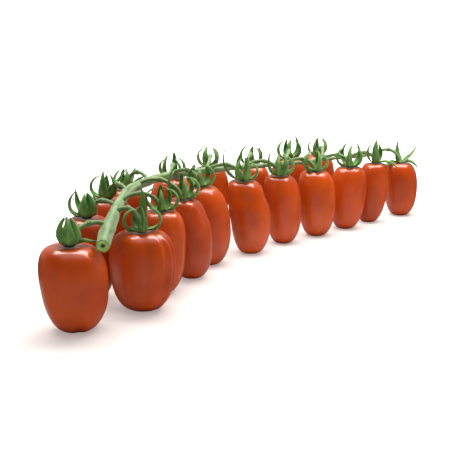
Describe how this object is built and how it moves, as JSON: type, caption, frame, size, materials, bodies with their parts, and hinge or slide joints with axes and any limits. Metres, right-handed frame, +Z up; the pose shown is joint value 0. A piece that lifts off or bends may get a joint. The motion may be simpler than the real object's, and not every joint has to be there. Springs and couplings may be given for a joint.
{
  "type": "truss of oblong tomatoes",
  "caption": "Truss of ripe oblong tomatoes standing on their blossom ends in two rows, with curled green calyxes and the cut branching stem lying on top.",
  "frame": {"origin": "centre of the footprint on the surface that the fruits stand on", "axes": "+X along the truss from the cut end of the stem to its tip, +Z up out of the fruits towards the stem"},
  "size_m": [0.3221, 0.097, 0.0628],
  "materials": {
    "tomato_skin": "smooth waxy ripe skin",
    "calyx_green": "matt, finely hairy leaf",
    "stem_green": "matt, finely hairy, ridged stem"
  },
  "bodies": {
    "root": {"tomato_front_01": "tomato_skin", "tomato_front_02": "tomato_skin", "tomato_front_03": "tomato_skin", "tomato_front_04": "tomato_skin", "tomato_front_05": "tomato_skin", "tomato_front_06": "tomato_skin", "tomato_front_07": "tomato_skin", "tomato_front_08": "tomato_skin", "tomato_front_09": "tomato_skin", "tomato_front_10": "tomato_skin", "tomato_back_01": "tomato_skin", "tomato_back_02": "tomato_skin", "tomato_back_03": "tomato_skin", "tomato_back_04": "tomato_skin", "tomato_back_05": "tomato_skin", "tomato_back_06": "tomato_skin", "tomato_back_07": "tomato_skin", "tomato_back_08": "tomato_skin", "tomato_back_09": "tomato_skin", "calyx_front_01": "calyx_green", "calyx_front_02": "calyx_green", "calyx_front_03": "calyx_green", "calyx_front_04": "calyx_green", "calyx_front_05": "calyx_green", "calyx_front_06": "calyx_green", "calyx_front_07": "calyx_green", "calyx_front_08": "calyx_green", "calyx_front_09": "calyx_green", "calyx_front_10": "calyx_green", "calyx_back_01": "calyx_green", "calyx_back_02": "calyx_green", "calyx_back_03": "calyx_green", "calyx_back_04": "calyx_green", "calyx_back_05": "calyx_green", "calyx_back_06": "calyx_green", "calyx_back_07": "calyx_green", "calyx_back_08": "calyx_green", "calyx_back_09": "calyx_green", "stem": "stem_green"}
  },
  "joints": []
}
